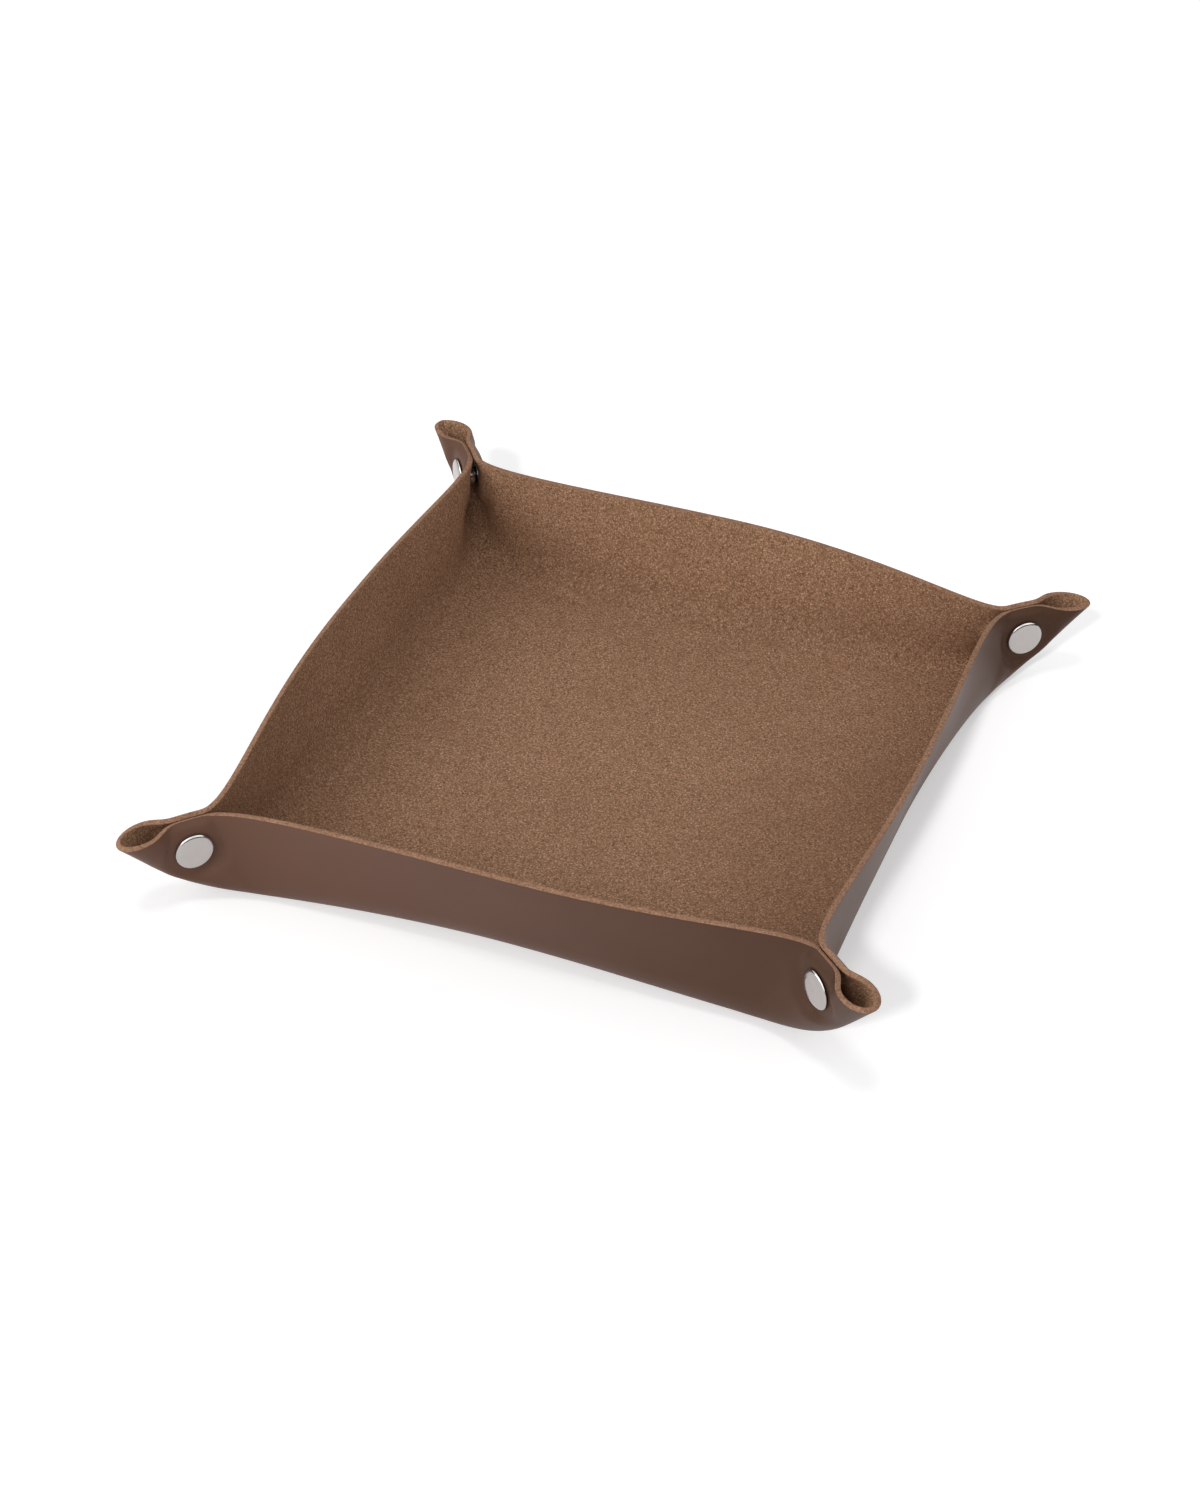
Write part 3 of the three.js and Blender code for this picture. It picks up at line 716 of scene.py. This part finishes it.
def cap_outline(at):
    """A flat dome with a round rim, on a hollow post whose end is rolled out inside the socket."""
    radius = SNAP["cap diameter"] / 2
    rim = SNAP["cap round"]
    roll = SNAP["cap roll"]
    depth = SNAP["cap roll depth"]
    post = SNAP["post diameter"] / 2
    bore = post - SNAP["post wall"]
    top = at["cap seat"] + SNAP["cap height"]
    return [
        *[(radius * share, top - CAP_CROWN * share ** 2) for share in CAP_CROWN_SHARES],
        *[(radius - roll + across / depth * roll, height)
          for across, height in arc(depth, 0, top - CAP_CROWN - depth, CAP_FACE, 0, CAP_ROLL_STEPS)],
        *arc(rim, radius - rim, at["cap seat"] + rim, 0, -90, CAP_ROUND_STEPS),
        (post, at["cap seat"]),
        (post, at["post end"] + SNAP["roll"]),
        (post + SNAP["roll overhang"], at["post end"] + SNAP["roll"]),
        (post + SNAP["roll overhang"], at["post end"]),
        (bore, at["post end"]),
        (bore, at["cap seat"]),
        (0, at["cap seat"]),
    ]


def socket_outline(at):
    """A stepped cup, open towards the stud, with a lip that keeps the spring in."""
    flange = SNAP["socket diameter"] / 2
    hole = SNAP["post diameter"] / 2 + SNAP["clearance"]
    cavity = cavity_radius()
    cup = cavity + SNAP["socket plate"]
    lip = SNAP["bulb diameter"] / 2 + SNAP["bulb clearance"]
    ledge = at["socket bottom"] + SNAP["socket lip"]
    return [
        (hole, at["socket top"]),
        (flange, at["socket top"]),
        (flange, at["socket ceiling"]),
        (cup, at["socket ceiling"] - SNAP["socket plate"]),
        (cup, ledge),
        (cup - SNAP["socket lip"], at["socket bottom"]),
        (lip, at["socket bottom"]),
        (lip, ledge),
        (cavity, ledge),
        (cavity, at["socket ceiling"]),
        (hole, at["socket ceiling"]),
    ]


def spring_outline(at):
    """The wire of the ring that grips the bulb below its widest place."""
    level = at["socket bottom"] + SNAP["socket lip"] + SNAP["spring lift"] + SNAP["spring wire"] / 2
    last = 360 / SPRING_SIDES - 360
    return arc(SNAP["spring wire"] / 2, spring_radius(), level, 0, last, SPRING_SIDES - 1)


def stud_outline(at):
    """A flange with a hollow neck that swells into a bulb."""
    bulb = SNAP["bulb diameter"] / 2
    neck = SNAP["neck diameter"] / 2
    bore = bulb - SNAP["bulb wall"]
    hole = SNAP["tube diameter"] / 2 + SNAP["clearance"]
    flange = SNAP["stud diameter"] / 2
    height = at["bulb top"] - at["stud top"]
    return [
        (hole, at["stud top"]),
        (bore, at["stud top"]),
        (bore, at["bulb top"]),
        (bulb - SNAP["bulb ease"], at["bulb top"]),
        (bulb, at["stud top"] + height * BULB_LEVEL),
        (neck, at["stud top"] + height * NECK_LEVEL),
        (neck, at["stud top"]),
        (neck + SNAP["stud plate"], at["stud top"]),
        (flange, at["stud seat"] + SNAP["stud plate"] / 2),
        (flange, at["stud seat"]),
        (hole, at["stud seat"]),
    ]


def eyelet_outline(at):
    """A low dome outside the leather, on a tube whose end is rolled out inside the stud."""
    flange = SNAP["eyelet diameter"] / 2
    tube = SNAP["tube diameter"] / 2
    bore = tube - SNAP["tube wall"]
    widest = SNAP["bulb diameter"] / 2 - SNAP["bulb wall"] - SNAP["clearance"]
    roll = min(tube + SNAP["roll overhang"], widest)
    back = at["eyelet seat"] - SNAP["eyelet height"]
    return [
        (bore, at["tube end"]),
        (roll, at["tube end"]),
        (roll, at["tube end"] - SNAP["roll"]),
        (tube, at["tube end"] - SNAP["roll"]),
        (tube, at["eyelet seat"]),
        (flange, at["eyelet seat"]),
        (flange, at["eyelet seat"] - SNAP["eyelet rim"]),
        (SNAP["eyelet face"] / 2, back),
        (tube, back),
        (bore, at["eyelet seat"]),
    ]


def outline_mesh(name, outline):
    """A closed outline as edges, ready to be turned."""
    points = [(radius * MM - TURN_RING, -height * MM, 0) for radius, height in outline]
    edges = [(i, (i + 1) % len(points)) for i in range(len(points))]
    mesh = bpy.data.meshes.new(name)
    mesh.from_pydata(points, edges, [])
    return mesh


def make_snaps(corners, materials):
    """A press stud for each corner: cap, socket and spring on the layer that moves, the rest on the other."""
    group = turned_tree()
    at = levels()
    pieces = {
        "cap": (cap_outline(at), "nickel"),
        "socket": (socket_outline(at), "nickel"),
        "spring": (spring_outline(at), "spring steel"),
        "stud": (stud_outline(at), "nickel"),
        "eyelet": (eyelet_outline(at), "nickel"),
    }
    for corner in corners:
        for piece, (outline, finish) in pieces.items():
            name = f"{corner.name}_{piece}_turned"
            values = {"place": tuple(corner.snap), "axis": tuple(corner.axis), "finish": materials[finish]}
            part = applied(name, outline_mesh(name, outline), group, values)
            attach(part, "tray" if piece in ("stud", "eyelet") else corner.body)
            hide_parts(f"{corner.name}_{piece}")


# Materials

def fleck_group():
    """Fine fibre flecks and wide soft clouds, both from 0 to 1, for raw leather and its grain."""
    inputs = [("fleck size", "NodeSocketFloat", MM), ("cloud size", "NodeSocketFloat", MM)]
    outputs = [("Flecks", "NodeSocketFloat"), ("Clouds", "NodeSocketFloat")]
    tree = node_group("fibre_flecks", "ShaderNodeTree", inputs, outputs)
    straight = tree.get("ShaderNodeTexCoord", "Object")
    settings = {"rotation_type": "AXIS_ANGLE"}
    place = tree.get("ShaderNodeVectorRotate", 0, settings, Vector=straight,
                     Axis=FLECK_AXIS, Angle=FLECK_TURN)
    fine = tree.get("ShaderNodeTexNoise", Vector=place, Scale=1 / tree.inputs["fleck size"],
                    Detail=4.0, Roughness=0.7)
    wide = tree.get("ShaderNodeTexNoise", Vector=place, Scale=1 / tree.inputs["cloud size"],
                    Detail=3.0, Roughness=0.55)
    tree.give(tree.end.inputs["Flecks"], tree.ramp(fine, *FLECK_LEVELS))
    tree.give(tree.end.inputs["Clouds"], tree.ramp(wide, *FLECK_LEVELS))
    return tree.data


def new_material(name, plain):
    """A material with its tree and its shader, and its colour where nothing is shaded."""
    material = bpy.data.materials.new(name)
    material.use_nodes = True
    material.diffuse_color = plain
    tree = Tree(material.node_tree)
    shader = material.node_tree.nodes["Principled BSDF"]
    return material, tree, shader


def set_inputs(shader, **values):
    """Sets a shader's plain inputs, by name with _ for a space."""
    for name, value in values.items():
        shader.inputs[name.replace("_", " ")].default_value = value


def mixed(tree, share, first, second):
    return tree.get("ShaderNodeMix", "Result", {"data_type": "RGBA"}, Factor=share, A=first, B=second)


def flecks(tree, group, fleck, cloud):
    """Flecks and clouds of a size in millimetres."""
    settings = {"node_tree": group}
    node = tree.add("ShaderNodeGroup", settings, fleck_size=fleck * MM, cloud_size=cloud * MM)
    return tree.wire(node, "Flecks"), tree.wire(node, "Clouds")


def bumped(tree, shader, height, depth, strength):
    """Relief of a depth in millimetres."""
    bump = tree.get("ShaderNodeBump", Strength=strength, Distance=depth * MM, Height=height)
    tree.give(shader.inputs["Normal"], bump)


def suede_material(group):
    """The flesh side: a short nap in light and dark flecks, brushed a little lighter and darker in places,
    with painted shade towards the sides and the front and along the foot of the walls.
    """
    material, tree, shader = new_material("suede", colour("suede"))
    nap, clouds = flecks(tree, group, fleck=0.9, cloud=45)
    grain, tufts = flecks(tree, group, fleck=0.55, cloud=9)
    speckle = nap * NAP_SHARE + grain * GRAIN_SHARE
    tone = mixed(tree, speckle, colour("suede dark"), colour("suede light"))
    fibres = tree.ramp(grain, *FIBRE_LEVELS)
    tone = mixed(tree, fibres * FIBRE_SHARE, tone, colour("suede fibre"))
    tone = mixed(tree, tufts * TUFT_SHARE, tone, colour("suede tuft"))
    # Painted shade: the nap darker towards the sides and the front, mixed into the same dark colour as the
    # random clouds
    place = tree.get("ShaderNodeTexCoord", "Object")
    sideways = tree.formula("ABSOLUTE", place.part("X") - PAINTED_SHADE_MIDDLE * MM)
    across = tree.formula("MAXIMUM", sideways, place.part("Y") * -1)
    dimmed = tree.smooth_over(across, PAINTED_SHADE_RANGE) * (1 - tree.smooth_over(place.part("Y"), PAINTED_SHADE_BACK))
    tone = mixed(tree, clouds * CLOUD_SHARE + dimmed * PAINTED_SHADE_SHARE, tone, colour("suede clouds and painted shade"))
    # Painted shade in a band along the foot of each wall
    height = place.part("Z")
    foot_shade = tree.smooth_over(height, FOOT_SHADE_START) * (1 - tree.smooth_over(height, FOOT_SHADE_END))
    tone = mixed(tree, foot_shade * FOOT_SHADE_SHARE, tone, colour("suede painted foot shade"))
    tree.give(shader.inputs["Base Color"], tone)
    set_inputs(shader, Roughness=0.95, Specular_IOR_Level=0.05)
    set_inputs(shader, Sheen_Weight=0.08, Sheen_Roughness=0.5, Sheen_Tint=colour("suede sheen"))
    bumped(tree, shader, speckle, depth=0.12, strength=0.5)
    return material


def smooth_side_material(group):
    """The grain side: satin, with a fine close grain, and painted shade that darkens it from left to right.
    """
    material, tree, shader = new_material("smooth_side", colour("smooth side"))
    pores, clouds = flecks(tree, group, fleck=0.6, cloud=60)
    place = tree.get("ShaderNodeTexCoord", "Object")
    # Painted shade: the smooth side darker from left to right, mixed with random clouds
    painted_shade = tree.ramp(place.part("X"), SIDE_SHADE_RANGE[0] * MM, SIDE_SHADE_RANGE[1] * MM)
    share = painted_shade * SIDE_SHADE_SHARE + clouds * SIDE_CLOUDS
    tone = mixed(tree, share, colour("smooth side left"), colour("smooth side painted shade"))
    tree.give(shader.inputs["Base Color"], tone)
    tree.give(shader.inputs["Roughness"], SIDE_ROUGHNESS + clouds * SIDE_DULLING)
    set_inputs(shader, Specular_IOR_Level=0.15, Specular_Tint=colour("smooth side shine"))
    bumped(tree, shader, pores, depth=0.03, strength=0.35)
    return material


def cut_edge_material(group):
    """The raw edge: tan fibres, lighter than either face."""
    material, tree, shader = new_material("cut_edge", colour("cut edge"))
    fine, clouds = flecks(tree, group, fleck=0.7, cloud=14)
    tone = mixed(tree, fine, colour("cut edge dark"), colour("cut edge light"))
    tone = mixed(tree, clouds * EDGE_CLOUDS, tone, colour("cut edge cloud"))
    tree.give(shader.inputs["Base Color"], tone)
    set_inputs(shader, Roughness=0.9, Specular_IOR_Level=0.2)
    bumped(tree, shader, fine, depth=0.2, strength=0.7)
    return material


def metal_material(name, roughness, group):
    """Plated metal with faint handling marks."""
    bright = colour(name)
    material, tree, shader = new_material(name.replace(" ", "_"), bright)
    marks, clouds = flecks(tree, group, fleck=0.5, cloud=3)
    dimmed = (*[METAL_WEAR * level for level in bright[:3]], 1.0)
    tree.give(shader.inputs["Base Color"], mixed(tree, clouds * METAL_CLOUDS, bright, dimmed))
    tree.give(shader.inputs["Roughness"], roughness + clouds * METAL_DULLING)
    set_inputs(shader, Metallic=1.0)
    bumped(tree, shader, marks, depth=0.004, strength=0.15)
    return material


def make_materials():
    group = fleck_group()
    return {
        "suede": suede_material(group),
        "smooth side": smooth_side_material(group),
        "cut edge": cut_edge_material(group),
        "nickel": metal_material("nickel", NICKEL_ROUGHNESS, group),
        "spring steel": metal_material("spring steel", STEEL_ROUGHNESS, group),
    }


# Stage

def seen_directly(tree, path):
    """1 for what the camera sees, also through glass, 0 for other light."""
    return tree.formula("MAXIMUM", tree.wire(path, "Is Camera Ray"), tree.wire(path, "Is Transmission Ray"))


def floor_material():
    """White floor: as bright as paper to the camera and to polished metal, plain to other light."""
    paint = (FLOOR_PAINT, FLOOR_PAINT, FLOOR_PAINT, 1)
    material, tree, shader = new_material("white_floor", paint)
    set_inputs(shader, Base_Color=paint, Roughness=0.9, Specular_IOR_Level=0.1)
    path = tree.add("ShaderNodeLightPath")
    seen = seen_directly(tree, path)
    mirrored = tree.wire(path, "Is Glossy Ray")
    tree.give(shader.inputs["Emission Color"], mixed(tree, mirrored, (1, 1, 1, 1), SHINE_TINT))
    tree.give(shader.inputs["Emission Strength"], seen * FLOOR_GLOW + mirrored * FLOOR_SHINE)
    return material


def make_floor():
    bpy.ops.mesh.primitive_circle_add(vertices=FLOOR_SIDES, radius=FLOOR_RADIUS, fill_type="NGON")
    floor = bpy.context.object
    floor.name = "floor"
    floor.data.materials.append(floor_material())
    return floor


def make_world():
    world = bpy.data.worlds.new("studio")
    bpy.context.scene.world = world
    world.use_nodes = True
    tree = Tree(world.node_tree)
    path = tree.add("ShaderNodeLightPath")
    background = world.node_tree.nodes["Background"]
    background.inputs["Color"].default_value = (1, 1, 1, 1)
    height = tree.get("ShaderNodeTexCoord", "Generated").part("Z")
    reflected = tree.blend(REFLECTED_SKYLINE, REFLECTED_SKY, tree.smooth(height, *SKYLINE))
    level = tree.blend(WORLD_LEVEL, reflected, tree.wire(path, "Is Glossy Ray"))
    tree.give(background.inputs["Strength"], tree.blend(level, 1, seen_directly(tree, path)))


def receivers(name, floor, link_state):
    """A collection that tells a lamp to light the floor alone or all but the floor."""
    collection = bpy.data.collections.new(name)
    collection.objects.link(floor)
    collection.collection_objects[0].light_linking.link_state = link_state
    return collection


def aim_lamp(light, place, lit):
    holder = bpy.data.objects.new(light.name, light)
    bpy.context.scene.collection.objects.link(holder)
    holder.location = place
    holder.rotation_euler = (-Vector(place)).to_track_quat("-Z", "Y").to_euler()
    holder.light_linking.receiver_collection = lit


def make_lights(floor):
    tray = receivers("lit_tray", floor, "EXCLUDE")
    for name, place, size, power in LAMPS:
        lamp = bpy.data.lights.new(name, "AREA")
        lamp.shape = "SQUARE"
        lamp.size = size
        lamp.energy = power
        aim_lamp(lamp, place, tray)
    ground = receivers("lit_floor", floor, "INCLUDE")
    for name, direction, spread, strength in FLOOR_SUNS:
        sun = bpy.data.lights.new(name, "SUN")
        sun.angle = spread
        sun.energy = strength
        aim_lamp(sun, direction, ground)


def make_camera():
    camera = bpy.data.objects.new("camera", bpy.data.cameras.new("camera"))
    bpy.context.scene.collection.objects.link(camera)
    azimuth = math.radians(CAMERA_AZIMUTH)
    elevation = math.radians(CAMERA_ELEVATION)
    level = math.cos(elevation)
    away = Vector((math.sin(azimuth) * level, -math.cos(azimuth) * level, math.sin(elevation)))
    camera.location = (Vector(CAMERA_TARGET) + away * CAMERA_DISTANCE) * MM
    camera.rotation_euler = (-away).to_track_quat("-Z", "Y").to_euler()
    camera.data.lens = CAMERA_LENS
    camera.data.sensor_width = CAMERA_SENSOR
    camera.data.clip_start = CAMERA_NEAR * MM
    bpy.context.scene.camera = camera


make_camera()
make_world()
make_lights(make_floor())
bpy.context.scene.view_settings.view_transform = "Standard"

finishes = make_materials()
pinched_corners = [Corner(joint) for joint in frame["joints"]]
make_sheet(pinched_corners, finishes)
make_snaps(pinched_corners, finishes)

bpy.context.view_layer.update()
